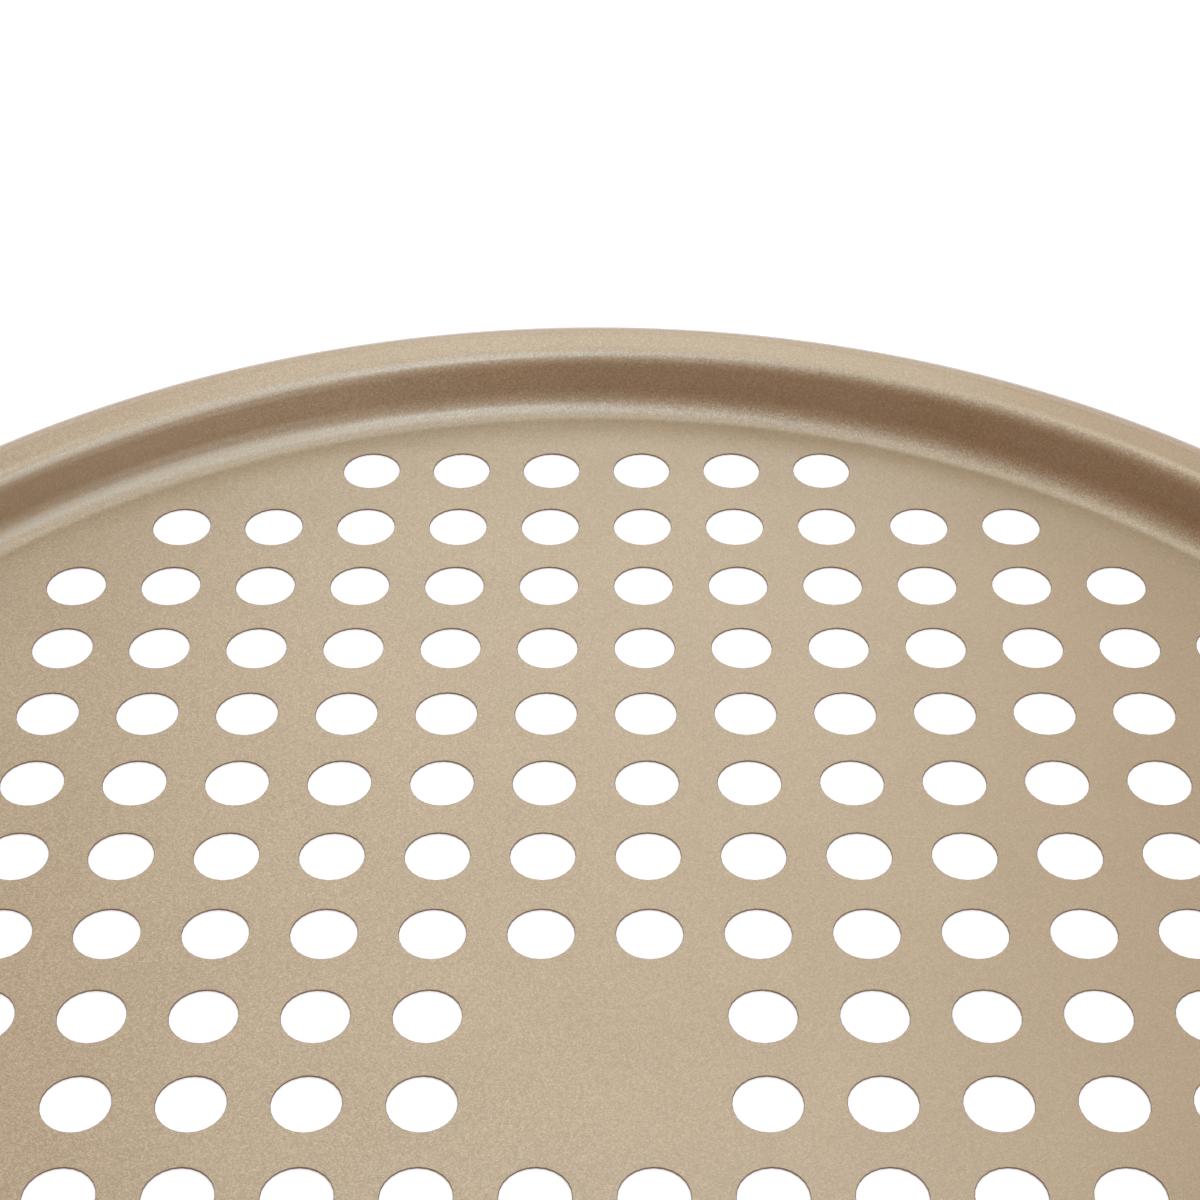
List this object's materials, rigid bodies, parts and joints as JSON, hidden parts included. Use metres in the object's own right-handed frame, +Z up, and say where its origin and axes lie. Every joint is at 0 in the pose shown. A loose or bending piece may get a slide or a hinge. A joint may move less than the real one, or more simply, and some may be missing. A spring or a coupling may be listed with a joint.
{
  "type": "pizza pan",
  "caption": "Round shallow baking pan with a perforated flat floor, a low sloping wall and a wide rim curled around a wire.",
  "frame": {"origin": "centre of the floor's underside, on the surface the pan stands on", "axes": "+Z up, along the pan's axis; the hole grid's rows run along X and Y"},
  "size_m": [0.3302, 0.3302, 0.0098],
  "materials": {
    "nonstick_coating": "satin metallic champagne non-stick coating with a fine fleck",
    "wire_steel": "drawn, slightly dull"
  },
  "bodies": {
    "root": {"pan": "nonstick_coating", "rim_wire": "wire_steel"}
  },
  "joints": []
}
